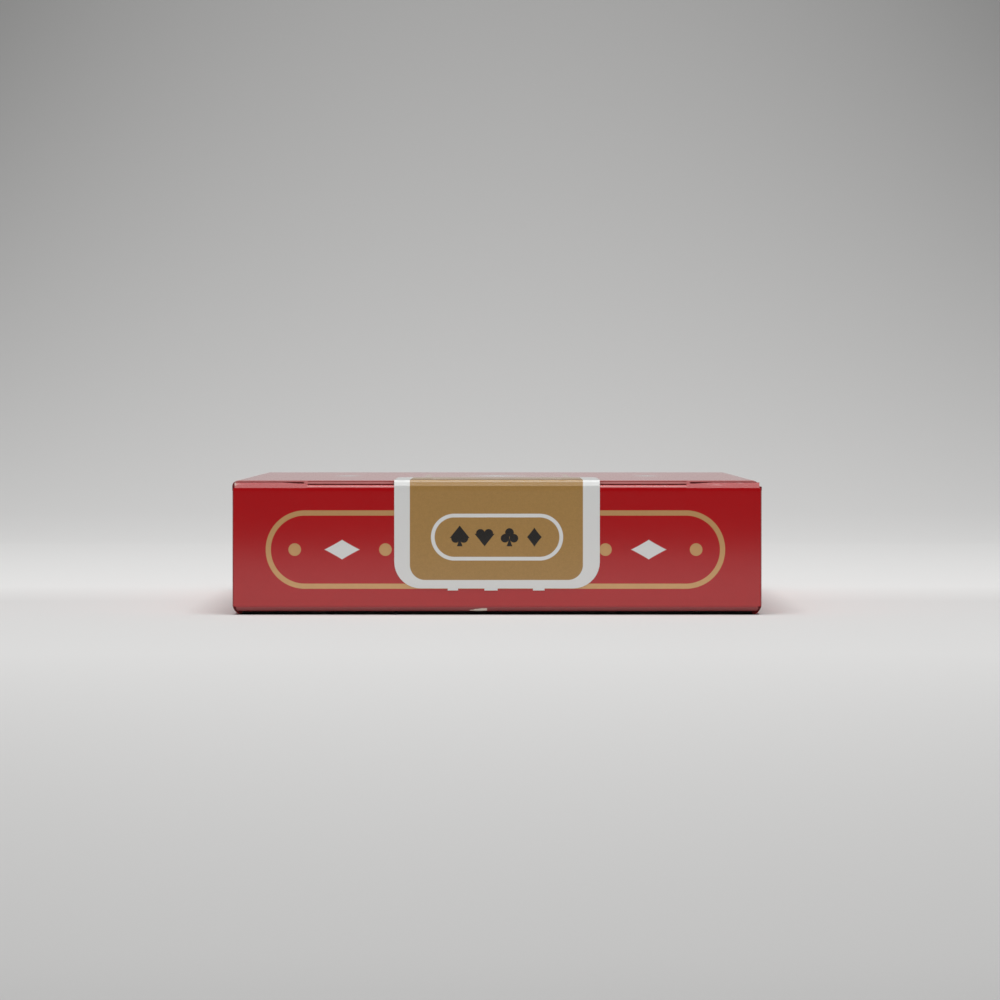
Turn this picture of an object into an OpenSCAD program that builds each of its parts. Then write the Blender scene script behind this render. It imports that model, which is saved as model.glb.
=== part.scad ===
// A sealed deck of playing cards in its folded tuck case.
// The case lies on its back panel. The lid closes the -Y end, with its crease along the lower
// edge, and its tuck flap slides in under the front panel, which faces up. The origin is the
// middle of the underside. All lengths are in millimetres.

/* [Cards] */
// Width of a card
card_w = 63.5; // [44:0.5:70]
// Length of a card
card_l = 88.9; // [63:0.5:120]
// Thickness of a card
card_t = 0.256; // [0.2:0.002:0.35]
// Air between one card and the next
card_gap = 0.004; // [0.002:0.001:0.02]
// Corner radius of a card
card_corner = 3.2; // [2:0.1:6]
// How far a card may lie out of line with the stack
card_scatter = 0.12; // [0:0.02:0.25]

/* [Case board] */
// Thickness of the folded board
board_t = 0.4; // [0.3:0.05:0.6]
// Outer radius of the folds between panels
fold_r = 0.7; // [0.65:0.05:1]
// Free width beside the cards
side_play = 1.3; // [0.8:0.1:3]
// Free length past the ends of the cards
end_play = 1.3; // [1:0.1:3]
// Height of the glue flap inside the right side panel
glue_h = 11; // [6:0.5:13]
// How far the right side panel's cut edge stops below the front panel's face
seam_drop = 0.75; // [0.7:0.05:1.2]
// Length of the bottom flap that folds in from the front panel
base_flap = 11; // [5:0.5:13]
// Radius of the thumb notch in the front panel's free edge
thumb_r = 8; // [4:0.5:11]

/* [Lid] */
// How much narrower than the case the lid is
lid_trim = 0.4; // [0.2:0.1:1]
// Air between the lid and the dust flaps behind it
lid_gap = 0.3; // [0.2:0.05:0.8]
// Air between the tuck fold and the front panel over it
slit_gap = 0.15; // [0.1:0.05:0.3]
// Length of the lock slit at each end of the tuck fold
lock_slit = 9.2; // [5:0.2:14]
// How far the lid's shoulders stand above the tuck fold
shoulder_rise = 0.25; // [0.1:0.05:0.3]
// Corner radius of the lid's shoulders
shoulder_r = 0.6; // [0.3:0.1:0.7]
// How far the lid opens, in degrees
lid_open = 88; // [60:1:88]
// Running clearance of the round creases
crease_gap = 0.03; // [0.02:0.01:0.06]

/* [Tuck flap] */
// Length of the tuck flap
tuck_len = 11.6; // [8:0.1:12]
// How much narrower than the card space the tuck flap is
tuck_trim = 1.6; // [1:0.1:4]
// Radius of the tuck flap's free corners
tuck_corner = 7; // [3:0.5:8]
// Turn of the tuck flap against the lid, as a share of the lid's opening
tuck_share = 0.5; // [0.45:0.05:0.5]
// Air between the tuck flap's tip and the top card
tuck_rest = 0.1; // [0.06:0.02:0.3]

/* [Dust flaps] */
// Length of a dust flap
dust_len = 12; // [8:0.5:12]
// Radius of a dust flap's bowed tip
dust_tip_r = 5; // [4:0.5:6]
// Rise of the lower edge along a dust flap, as a slope
dust_low_slope = 0.36; // [0.34:0.01:0.42]
// Fall of the upper edge along a dust flap, as a slope
dust_top_slope = 0.34; // [0.25:0.01:0.4]
// How far below the top card the upper edge starts
dust_top_drop = 0.4; // [0.3:0.1:1]

/* [Seal] */
// Width of the paper seal
seal_w = 25.6; // [16:0.2:34]
// Thickness of the paper seal
seal_t = 0.1; // [0.06:0.01:0.15]
// Height of the seal's lower edge on the lid
seal_low = 3.3; // [1.5:0.1:6]
// Length of the seal along the front panel
seal_reach = 28; // [14:1:45]
// Corner radius of the seal
seal_corner = 3.3; // [1:0.1:5]
// Height of the die-cut nicks along the seal's lower edge
nick_h = 0.26; // [0.1:0.02:0.4]
// Gap of the cut across the seal where the lid parts from the front panel
seal_cut = 0.02; // [0.01:0.01:0.05]

/* [Hidden] */
$fn = 64;
overlap = 1;

ranks = ["ace", "two", "three", "four", "five", "six", "seven",
         "eight", "nine", "ten", "jack", "queen", "king"];
// A new pack runs up in the first two suits and down in the last two.
card_names = concat(
    [for (rank = ranks) str(rank, "_of_spades")],
    [for (rank = ranks) str(rank, "_of_diamonds")],
    [for (i = [len(ranks) - 1 : -1 : 0]) str(ranks[i], "_of_clubs")],
    [for (i = [len(ranks) - 1 : -1 : 0]) str(ranks[i], "_of_hearts")]);
joker_count = 2;
suit_cards = len(card_names);
deck_count = suit_cards + joker_count;

// The case is sized round the stack of cards.
card_pitch = card_t + card_gap;
floor_gap = 5 * card_gap;
deck_h = deck_count * card_pitch;
deck_top = board_t + floor_gap + deck_h;
// A stiff flap that turns by half the lid's angle rises by this much as it slides out.
tuck_drop = tuck_len * tuck_len / (8 * deck_h);
case_h = deck_top + tuck_rest + tuck_drop + board_t + slit_gap + board_t;
case_w = card_w + side_play + 3 * board_t;
base_layers = 3 * board_t;
case_l = 2 * board_t + lid_gap + end_play + card_l + base_layers;

half_w = case_w / 2;
flat_w = half_w - fold_r;
inner_r = fold_r - board_t;
lid_y = (seal_t - case_l) / 2;
base_y = (seal_t + case_l) / 2;
dust_bend_y = base_y - 2 * board_t - fold_r;
// The glue flap takes one board thickness from the card space on the right.
deck_x = -board_t / 2;
deck_y = base_y - base_layers - card_scatter - end_play / 10 - card_l / 2;

// Creases turn about the middle of the board.
nose_r = board_t / 2;
hinge_y = lid_y + nose_r;
hinge_z = nose_r;
fold_z = case_h - board_t - slit_gap - nose_r;
fold_drop = case_h - fold_z;
mouth_y = lid_y + fold_drop;
tuck_tilt = asin(tuck_drop / tuck_len);
tuck_least_angle = 90 - tuck_tilt - tuck_share * lid_open;
tuck_half_w = (card_w + side_play - tuck_trim) / 2;

lid_half_w = (case_w - lid_trim) / 2;
lock_x = lid_half_w - lock_slit;
shoulder_z = fold_z + nose_r + shoulder_rise;

dust_y = lid_y + board_t + lid_gap;
dust_axis_x = half_w - nose_r;
dust_axis_y = dust_y + nose_r;
dust_low = fold_r + 0.5 * board_t;
dust_top = deck_top - dust_top_drop;

seal_bend = fold_drop - seal_t / 2;
seal_bend_z = case_h - seal_bend;
// Middle and width of each nick, from the left.
nicks = [[-5.5, 1.3], [-0.75, 1.65], [5.2, 1.45]];

board_red = "#9e1b20";
board_inside = "#e4dccb";
seal_tan = "#a37c45";
card_white = "#f3f0e8";

// Flat shapes

// One quarter of a ring about the origin, on the side that the signs give.
module quarter_ring(outer, inner, side_x, side_y) {
    intersection() {
        difference() {
            circle(outer);
            circle(inner);
        }
        scale([side_x, side_y]) square(outer);
    }
}

module quarter_disc(r, side_x, side_y) {
    intersection() {
        circle(r);
        scale([side_x, side_y]) square(r);
    }
}

module half_disc(r) {
    intersection() {
        circle(r);
        translate([-r, 0]) square([2 * r, r]);
    }
}

// A plate from y = 0 to y = length, centred on x, with round corners at its far end.
module round_ended(half_width, length, r) {
    translate([-half_width, 0]) square([2 * half_width, length - r]);
    translate([r - half_width, length - r]) square([2 * (half_width - r), r]);
    for (side = [-1, 1])
        translate([side * (half_width - r), length - r]) quarter_disc(r, side, 1);
}

module round_rect(width, length, r) {
    for (end = [-1, 1])
        scale([1, end]) round_ended(width / 2, length / 2, r);
}

// Extrusions along the three axes

// Draws X and Z, and runs along Y from one place to another.
module run_y(from, to) {
    translate([0, to, 0]) rotate([90, 0, 0]) linear_extrude(to - from) children();
}

// Draws Y and Z, and runs along X to both sides of the middle.
module run_x(half_width) {
    rotate([90, 0, 90]) linear_extrude(2 * half_width, center = true) children();
}

// Draws X and Y, and runs up Z from one height to another.
module run_z(from, to) {
    translate([0, 0, from]) linear_extrude(to - from) children();
}

// Case

// The long panels and folds, each with its own ends, as one folded and glued sheet.
module long_panels() {
    run_y(hinge_y, base_y - fold_r)
        back_section();
    run_y(mouth_y, base_y - board_t - fold_r)
        front_section();
    run_y(mouth_y, dust_bend_y)
        tube_section();
    run_y(dust_axis_y + nose_r + lid_gap, dust_bend_y) {
        tube_section();
        translate([half_w - 2 * board_t, case_h - fold_r - glue_h]) square([board_t, glue_h]);
    }
}

module back_section() {
    translate([-flat_w, 0]) square([2 * flat_w, board_t]);
}

module front_section() {
    translate([-flat_w, case_h - board_t]) square([2 * flat_w - board_t, board_t]);
}

// All round the cards. The right side panel laps over the glue flap and ends in a cut edge.
module tube_section() {
    back_section();
    front_section();
    for (side = [-1, 1])
        translate([side * flat_w, fold_r]) quarter_ring(fold_r, inner_r, side, -1);
    translate([-half_w, fold_r]) square([board_t, case_h - 2 * fold_r]);
    translate([-flat_w, case_h - fold_r]) quarter_ring(fold_r, inner_r, -1, 1);
    translate([half_w - board_t, fold_r]) square([board_t, case_h - fold_r - seam_drop]);
    translate([flat_w - board_t, case_h - fold_r]) quarter_ring(fold_r, inner_r, 1, 1);
}

// The glued bottom: dust flaps inside, then the front panel's flap, then the back panel's.
// Each flap starts from a strip of its own panel.
module glued_base() {
    run_x(flat_w) {
        translate([base_y - 2 * fold_r, 0]) square([fold_r, board_t]);
        translate([base_y - fold_r, fold_r]) quarter_ring(fold_r, inner_r, 1, -1);
        translate([base_y - board_t, fold_r]) square([board_t, case_h - 2 * fold_r]);
    }
    run_x(flat_w - board_t) {
        translate([base_y - board_t - 2 * fold_r, case_h - board_t]) square([fold_r, board_t]);
        translate([base_y - board_t - fold_r, case_h - fold_r])
            quarter_ring(fold_r, inner_r, 1, 1);
        translate([base_y - 2 * board_t, case_h - fold_r - base_flap])
            square([board_t, base_flap]);
    }
    run_z(fold_r, case_h - seam_drop)
        for (side = [-1, 1])
            scale([side, 1]) {
                translate([half_w - board_t, dust_bend_y - fold_r]) square([board_t, fold_r]);
                translate([flat_w, dust_bend_y]) quarter_ring(fold_r, inner_r, 1, 1);
                translate([flat_w - dust_len, base_y - base_layers])
                    square([dust_len, board_t]);
            }
}

module case() {
    color(board_red) difference() {
        union() {
            long_panels();
            glued_base();
        }
        // The thumb notch
        translate([0, mouth_y, case_h - board_t - overlap])
            cylinder(r = thumb_r, h = board_t + 2 * overlap);
        // The lid's round crease
        run_x(half_w)
            translate([hinge_y, hinge_z]) rotate(90) scale([1, -1]) crease_seat();
        // The dust flaps' round creases, and their way out of the mouth
        run_z(dust_low - crease_gap, dust_top + crease_gap)
            for (side = [-1, 1])
                translate([side * dust_axis_x, dust_axis_y]) scale([-side, 1]) {
                    crease_seat();
                    translate([-board_t, -fold_drop]) square([2 * board_t, fold_drop]);
                }
    }
}

// Room at a crease for a flap that runs along +X, on a panel that runs along +Y.
module crease_seat() {
    seat = nose_r + crease_gap;
    circle(seat);
    square([board_t, seat]);
}

// Lid

// The lid's face: narrower at the crease, with round shoulders beside the tuck fold.
module lid_outline() {
    translate([-flat_w, hinge_z]) square([2 * flat_w, fold_r - hinge_z]);
    difference() {
        translate([0, fold_r]) round_ended(lid_half_w, shoulder_z - fold_r, shoulder_r);
        translate([-lock_x, fold_z]) square([2 * lock_x, overlap]);
    }
}

module lid() {
    color(board_red) {
        run_y(lid_y, lid_y + board_t) lid_outline();
        run_x(flat_w) translate([hinge_y, hinge_z]) rotate(180) half_disc(nose_r);
        run_x(lock_x) translate([hinge_y, fold_z]) half_disc(nose_r);
    }
}

// Tuck flap

// The flap hangs from the lid's upper fold and leans down to rest just above the top card.
module tuck_flap() {
    slit = nose_r + 2 * crease_gap;
    color(board_inside) translate([0, hinge_y, fold_z]) rotate([-tuck_tilt, 0, 0])
        difference() {
            run_z(-nose_r, nose_r) round_ended(tuck_half_w, tuck_len, tuck_corner);
            // The root is cut back so that the flap can close on the lid when it opens.
            rotate([90 - tuck_least_angle, 0, 0])
                translate([-half_w, nose_r + crease_gap - overlap, -overlap])
                    cube([case_w, overlap, 2 * overlap]);
            // The lock slits
            for (side = [-1, 1])
                translate([side * (lock_x + half_w) / 2, 0, 0])
                    cube([half_w - lock_x, 2 * slit, overlap], center = true);
        }
}

// Dust flaps

// Outline from the crease inwards: tapered on both edges, with a bowed tip.
module dust_outline() {
    low_tip = dust_low + dust_low_slope * dust_len;
    top_tip = dust_top - dust_top_slope * dust_len;
    intersection() {
        polygon([[0, dust_low], [dust_len, low_tip], [dust_len, top_tip], [0, dust_top]]);
        union() {
            square([dust_len - dust_tip_r, dust_top]);
            translate([dust_len - dust_tip_r, (low_tip + top_tip) / 2]) circle(dust_tip_r);
        }
    }
}

// The left flap. Its round crease stands at the mouth end of the side panel.
module left_dust_flap() {
    color(board_inside) translate([-dust_axis_x, 0, 0]) {
        run_y(dust_y, dust_y + board_t) dust_outline();
        run_z(dust_low, dust_top)
            translate([0, dust_axis_y]) rotate(90) half_disc(nose_r);
    }
}

module dust_flap_left() {
    left_dust_flap();
}

module dust_flap_right() {
    mirror([1, 0, 0]) left_dust_flap();
}

// Seal

// A slice of the bend over the case's edge, between two angles from the lid's face.
module seal_bend_slice(from, to) {
    reach = 2 * (seal_bend + seal_t);
    translate([lid_y + seal_bend, seal_bend_z]) intersection() {
        difference() {
            circle(seal_bend + seal_t);
            circle(seal_bend);
        }
        polygon([[0, 0], reach * [-cos(from), sin(from)], reach * [-cos(to), sin(to)]]);
    }
}

// The angle that the cut takes out of the bend.
seal_cut_angle = seal_cut / (seal_bend + seal_t) * 180 / PI;

module seal_lid_half() {
    drop = seal_bend_z - seal_low;
    color(seal_tan) {
        run_y(lid_y - seal_t, lid_y) {
            translate([0, seal_bend_z]) scale([1, -1])
                round_ended(seal_w / 2, drop, seal_corner);
            for (nick = nicks)
                translate([nick[0] - nick[1] / 2, seal_low - nick_h]) square([nick[1], nick_h]);
        }
        run_x(seal_w / 2) seal_bend_slice(0, 45 - seal_cut_angle);
    }
}

module seal_face_half() {
    color(seal_tan) {
        run_z(case_h, case_h + seal_t)
            translate([0, lid_y + seal_bend]) round_ended(seal_w / 2, seal_reach, seal_corner);
        run_x(seal_w / 2) seal_bend_slice(45, 90);
    }
}

// Cards

// A card's place in the stack, a little out of line as loose cards lie.
function card_place(i) = [
    deck_x + card_scatter * sin(137 * i),
    deck_y + card_scatter * cos(101 * i),
    board_t + floor_gap + i * card_pitch];

module card(i) {
    color(card_white) translate(card_place(i))
        linear_extrude(card_t) round_rect(card_w, card_l, card_corner);
}

module jokers() {
    for (i = [suit_cards : deck_count - 1])
        card(i);
}

case();
lid();
tuck_flap();
dust_flap_left();
dust_flap_right();
seal_lid_half();
seal_face_half();
jokers();
for (i = [0 : suit_cards - 1])
    card(i);
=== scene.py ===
"""Dress a sealed deck of playing cards in its folded tuck case.

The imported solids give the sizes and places. Each board piece is modelled as a folded sheet, thickened
and printed with procedural inks. The cards keep their solids and get a card-stock finish.
"""
import logging
import math
from dataclasses import dataclass
from enum import Enum
from functools import reduce
from typing import Any, Callable, Optional, Sequence, Union

import bmesh
import bpy
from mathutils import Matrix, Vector


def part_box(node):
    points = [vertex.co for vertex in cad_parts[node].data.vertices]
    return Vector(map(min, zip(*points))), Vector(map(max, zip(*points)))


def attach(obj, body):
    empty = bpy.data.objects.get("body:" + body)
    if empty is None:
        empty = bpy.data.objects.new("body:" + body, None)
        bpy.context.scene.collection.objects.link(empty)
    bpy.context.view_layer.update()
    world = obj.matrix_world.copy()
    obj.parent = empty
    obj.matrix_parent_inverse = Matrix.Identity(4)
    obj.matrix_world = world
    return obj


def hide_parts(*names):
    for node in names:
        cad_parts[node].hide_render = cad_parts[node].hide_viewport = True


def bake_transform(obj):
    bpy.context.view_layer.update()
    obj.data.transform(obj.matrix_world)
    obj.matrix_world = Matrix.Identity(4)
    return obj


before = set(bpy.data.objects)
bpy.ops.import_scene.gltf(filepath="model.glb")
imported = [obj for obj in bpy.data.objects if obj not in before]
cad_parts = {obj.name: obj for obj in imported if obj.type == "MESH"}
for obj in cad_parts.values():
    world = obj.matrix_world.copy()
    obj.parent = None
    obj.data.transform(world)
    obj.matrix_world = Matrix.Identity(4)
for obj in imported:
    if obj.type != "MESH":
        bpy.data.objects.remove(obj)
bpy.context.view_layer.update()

LOG = logging.getLogger("card_deck")
MM = 0.001
NEAR = 0.004
CUT_SNAP = 1e-7
MERGE = 1e-6
NOTCH_SIDES = 96

Triple = tuple[float, float, float]
Colour = tuple[float, float, float]
Test = Callable[[Vector], bool]


def near(a: float, b: float) -> bool:
    """True where two lengths in millimetres are the same place on the sheet."""
    return abs(a - b) < NEAR


def metres(place: Sequence[float]) -> list[float]:
    """A place in millimetres as metres."""
    return [c * MM for c in place]


def darker(colour: Colour, share: float) -> Colour:
    """A colour times a share below one."""
    return tuple(c * share for c in colour)


@dataclass(frozen=True)
class Measures:
    """Sizes of the deck in millimetres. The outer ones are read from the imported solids."""

    half_w: float
    height: float
    lid_y: float
    base_y: float
    lid_half_w: float
    tuck_half_w: float
    tuck_tip_y: float
    dust_top: float
    dust_tip_x: float
    seal_half_w: float
    seal_far_y: float
    board: float = 0.4
    sheet: float = 0.38
    fold_r: float = 0.7
    lock_slit: float = 9.2
    lid_bow: float = 0.04
    seal_t: float = 0.1
    seal_low: float = 3.3
    mouth_set: float = 0.48
    tuck_tilt: float = 5.93
    crease_r: float = 0.55
    crease_z: float = 1.0
    dust_rise: float = 1.4
    dust_set: float = 0.7
    lid_inset: float = 0.06

    @classmethod
    def from_frame(cls) -> "Measures":
        """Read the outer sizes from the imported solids.

        Returns:
            The deck's measures in millimetres.
        """
        case, lid, tuck, dust, seal, reach = (
            [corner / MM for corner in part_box(node)]
            for node in ("case", "lid", "tuck_flap", "dust_flap_right", "seal_lid_half", "seal_face_half"))
        return cls(
            half_w=case[1].x, height=case[1].z, lid_y=lid[0].y, base_y=case[1].y,
            lid_half_w=lid[1].x, tuck_half_w=tuck[1].x, tuck_tip_y=tuck[1].y,
            dust_top=dust[1].z, dust_tip_x=dust[0].x,
            seal_half_w=seal[1].x, seal_far_y=reach[1].y)

    @property
    def lift(self) -> float:
        """How far the crease under the lid stands off the surface."""
        return self.crease_z - self.crease_r

    @property
    def mouth_y(self) -> float:
        """Where the front panel's free edge lies."""
        return self.lid_y + self.mouth_set

    @property
    def lid_face(self) -> float:
        """Where the lid's sheet starts before its middle is bowed out."""
        return self.lid_y + self.lid_bow

    @property
    def lid_edge(self) -> float:
        """Half the width of the lid's sheet, which covers the case's corners."""
        return self.half_w - self.lid_inset

    @property
    def dust_face(self) -> float:
        """Where the dust flaps' outer faces lie."""
        return self.lid_y + self.dust_set

    @property
    def lock_x(self) -> float:
        """Half the length of the tuck fold, between the lock slits."""
        return self.lid_half_w - self.lock_slit


# Shader maths


class Val:
    """A number socket that can be used in Python expressions."""

    def __init__(self, sheet: "NodeSheet", socket: bpy.types.NodeSocket) -> None:
        """Wrap a socket of one material's nodes."""
        self.sheet = sheet
        self.socket = socket

    def math(self, operation: str, other: Optional["Number"] = None, swap: bool = False) -> "Val":
        """Add a Math node.

        Args:
            operation: The Math node's operation.
            other: The second number, if the operation takes two.
            swap: Whether the other number comes first.

        Returns:
            The node's result.
        """
        pair = [self] if other is None else [other, self] if swap else [self, other]
        node = self.sheet.add("ShaderNodeMath", {"operation": operation}, dict(enumerate(pair)))
        return Val(self.sheet, node.outputs[0])

    def __add__(self, other: "Number") -> "Val":
        """self + other."""
        return self.math("ADD", other)

    def __sub__(self, other: "Number") -> "Val":
        """self - other."""
        return self.math("SUBTRACT", other)

    def __mul__(self, other: "Number") -> "Val":
        """self * other."""
        return self.math("MULTIPLY", other)

    def __truediv__(self, other: "Number") -> "Val":
        """self / other."""
        return self.math("DIVIDE", other)

    def __pow__(self, other: "Number") -> "Val":
        """self ** other."""
        return self.math("POWER", other)

    def __rsub__(self, other: "Number") -> "Val":
        """other - self."""
        return self.math("SUBTRACT", other, swap=True)

    __radd__ = __add__
    __rmul__ = __mul__

    def __neg__(self) -> "Val":
        """-self."""
        return self * -1.0

    def __abs__(self) -> "Val":
        """Its size without its sign."""
        return self.math("ABSOLUTE")

    def root(self) -> "Val":
        """Its square root."""
        return self.math("SQRT")

    def least(self, other: "Number") -> "Val":
        """The smaller of two numbers."""
        return self.math("MINIMUM", other)

    def most(self, other: "Number") -> "Val":
        """The larger of two numbers."""
        return self.math("MAXIMUM", other)

    def clamp(self, low: float = 0.0, high: float = 1.0) -> "Val":
        """The number, held between two bounds."""
        return self.most(low).least(high)

    def wave(self, pitch: float) -> "Val":
        """Distance to the nearest multiple of a pitch."""
        return abs((self / pitch).math("FRACT") - 0.5) * -pitch + pitch / 2

    def ramp(self, start: float, end: float) -> "Val":
        """Smooth step from 0 at start to 1 at end."""
        node = self.sheet.add(
            "ShaderNodeMapRange", {"interpolation_type": "SMOOTHSTEP"}, {0: self, 1: start, 2: end})
        return Val(self.sheet, node.outputs[0])

    def inside(self, soft: float = 0.04) -> "Val":
        """1 where a distance is below zero, with a soft edge in millimetres."""
        return self.ramp(soft, -soft)

    def line(self, width: float) -> "Val":
        """1 on a line of this width along a shape's edge."""
        return (abs(self) - width / 2).inside()


Number = Union[Val, float]


class Stamp(Enum):
    """Layers of a piece's mesh that hold its shape at rest."""

    PLACE = "rest_place"
    FACING = "rest_facing"


class NodeSheet:
    """The nodes of one material."""

    def __init__(self, name: str, stamped: bool = False) -> None:
        """Start a material with a principled shader and the place on the piece in millimetres.

        Args:
            name: The material's name.
            stamped: Whether the place and facing come from the piece's stamp, which bending leaves alone.
        """
        self.material = bpy.data.materials.new(name)
        self.material.use_nodes = True
        self.tree = self.material.node_tree
        self.tree.nodes.clear()
        self.shader = self.add("ShaderNodeBsdfPrincipled")
        self.add("ShaderNodeOutputMaterial", inputs={"Surface": self.shader.outputs[0]})
        if stamped:
            self.place, facing = (
                self.add("ShaderNodeAttribute", {"attribute_name": layer.value}).outputs["Vector"]
                for layer in Stamp)
        else:
            coordinates = self.add("ShaderNodeTexCoord")
            self.place, facing = coordinates.outputs["Object"], coordinates.outputs["Normal"]
        self.x, self.y, self.z = (axis / MM for axis in self.split(self.place))
        self.facing = self.split(facing)

    def add(self, kind: str, settings: Optional[dict[str, Any]] = None,
            inputs: Optional[dict[Union[str, int], Any]] = None) -> bpy.types.Node:
        """Add a node.

        Args:
            kind: The node's type.
            settings: Its own settings, set first.
            inputs: Values or links by socket name or number.

        Returns:
            The node.
        """
        node = self.tree.nodes.new(kind)
        for name, value in (settings or {}).items():
            setattr(node, name, value)
        for key, value in (inputs or {}).items():
            self.feed(node.inputs[key], value)
        return node

    def feed(self, socket: bpy.types.NodeSocket, value: Any) -> None:
        """Link a value to a socket, or set it there.

        Args:
            socket: The socket that takes it.
            value: A number, a colour, a wrapped number or a socket.
        """
        if isinstance(value, Val):
            value = value.socket
        if isinstance(value, bpy.types.NodeSocket):
            self.tree.links.new(value, socket)
        elif isinstance(value, tuple) and socket.type == "RGBA":
            socket.default_value = (*value, 1.0)
        else:
            socket.default_value = value

    def split(self, vector: bpy.types.NodeSocket) -> tuple[Val, Val, Val]:
        """The three parts of a vector socket."""
        node = self.add("ShaderNodeSeparateXYZ", inputs={0: vector})
        return tuple(Val(self, out) for out in node.outputs)

    def mix(self, share: Number, first: Any, second: Any) -> bpy.types.NodeSocket:
        """Mix two colours.

        Args:
            share: How much of the second shows.
            first: A colour or colour socket.
            second: A colour or colour socket.

        Returns:
            The mixed colour.
        """
        return self.add("ShaderNodeMix", {"data_type": "RGBA"}, {0: share, 6: first, 7: second}).outputs[2]

    def noise(self, size: float, detail: float = 3.0, stretch: Triple = (1.0, 1.0, 1.0)) -> Val:
        """Cloudy noise from 0 to 1.

        Args:
            size: Width of its features in millimetres.
            detail: How many finer layers it has.
            stretch: How much longer the features are along each axis.

        Returns:
            The noise.
        """
        scaled = self.add("ShaderNodeMapping", inputs={0: self.place, 3: tuple(1.0 / s for s in stretch)})
        node = self.add("ShaderNodeTexNoise", inputs={
            "Vector": scaled.outputs[0], "Scale": 1.0 / (size * MM), "Detail": detail, "Roughness": 0.55})
        return Val(self, node.outputs[0])

    def bump(self, height: Val, depth: float) -> bpy.types.NodeSocket:
        """A normal from a height of 0 to 1 that is this many millimetres deep."""
        return self.add("ShaderNodeBump", inputs={
            "Strength": 1.0, "Distance": depth * MM, "Height": height}).outputs[0]

    def dress(self, **sockets: Any) -> bpy.types.Material:
        """Feed the principled shader.

        Args:
            **sockets: Values by socket name, with underscores for spaces.

        Returns:
            The material.
        """
        for name, value in sockets.items():
            self.feed(self.shader.inputs[name.replace("_", " ")], value)
        return self.material


class Suit(Enum):
    """The four suits, in the order that their pips stand in a row."""

    SPADES = 0
    HEARTS = 1
    CLUBS = 2
    DIAMONDS = 3


class Shapes:
    """Distances to flat shapes, in millimetres, below zero inside."""

    @staticmethod
    def disc(u: Val, v: Val, radius: float) -> Val:
        """A disc about the middle."""
        return (u * u + v * v).root() - radius

    @staticmethod
    def stadium(u: Val, v: Val, half_run: float, radius: float) -> Val:
        """A bar with round ends along u."""
        past = (abs(u) - half_run).most(0.0)
        return (past * past + v * v).root() - radius

    @staticmethod
    def panel(u: Val, v: Val, half_u: float, half_v: float, radius: float) -> Val:
        """A rectangle with round corners."""
        over_u, over_v = abs(u) - (half_u - radius), abs(v) - (half_v - radius)
        out_u, out_v = over_u.most(0.0), over_v.most(0.0)
        return (out_u * out_u + out_v * out_v).root() + over_u.most(over_v).least(0.0) - radius

    @staticmethod
    def lozenge(u: Val, v: Val, half_u: float, half_v: float, bow: float = 0.96) -> Val:
        """A lozenge whose sides bow in where bow is below one."""
        level = (abs(u) / half_u) ** bow + (abs(v) / half_v) ** bow
        return (level - 1.0) * (half_u * half_v / (half_u + half_v))

    @staticmethod
    def lattice(u: Val, v: Val, pitch: float, half_line: float) -> Val:
        """Crossed diagonal lines."""
        return (u + v).wave(pitch).least((u - v).wave(pitch)) - half_line

    @classmethod
    def pip(cls, suit: Suit, u: Val, v: Val, size: float) -> Val:
        """A suit's pip.

        Args:
            suit: Which suit.
            u: Distance across from its middle.
            v: Distance up from its middle.
            size: Its height.

        Returns:
            The distance to its edge.
        """
        if suit is Suit.DIAMONDS:
            return cls.lozenge(u, v, 0.4 * size, 0.52 * size, 0.95)
        side = abs(u)
        if suit is Suit.CLUBS:
            lobes = cls.disc(side - 0.24 * size, v + 0.06 * size, 0.235 * size).least(
                cls.disc(u, v - 0.25 * size, 0.235 * size))
            return lobes.least(cls.stem(side, v, size))
        up = v if suit is Suit.HEARTS else 0.13 * size - v
        lobes = cls.disc(side - 0.22 * size, up - 0.2 * size, 0.24 * size)
        point = (side * 0.78 - up * 0.62 - 0.31 * size).most(up - 0.18 * size)
        heart = lobes.least(point)
        return heart if suit is Suit.HEARTS else heart.least(cls.stem(side, v, size))

    @staticmethod
    def stem(side: Val, v: Val, size: float) -> Val:
        """The flared stem under a spade or a club."""
        return (side + v * 0.35 + 0.02 * size).most(abs(v + 0.3 * size) - 0.2 * size)


# Finishes


class Ink(Enum):
    """Printed colours, as linear red, green and blue."""

    RED = (0.53, 0.0025, 0.006)
    # The same red ink painted lighter for the case, as painted light on its faces.
    BRIGHT_RED = (0.64, 0.003, 0.007)
    GOLD = (0.75, 0.43, 0.18)
    WHITE = (0.85, 0.86, 0.85)
    BROWN = (0.50, 0.287, 0.087)
    BLACK = (0.012, 0.009, 0.007)
    BOARD = (0.78, 0.71, 0.60)
    PINK = (0.90, 0.43, 0.42)
    SALMON = (0.52, 0.055, 0.055)
    WINE = (0.22, 0.02, 0.022)
    STOCK = (0.84, 0.82, 0.77)


class Panel(Enum):
    """Which piece of the case a print is laid out for."""

    LID = "lid"
    TUCK = "tuck"
    DUST = "dust"
    CASE = "case"


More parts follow.
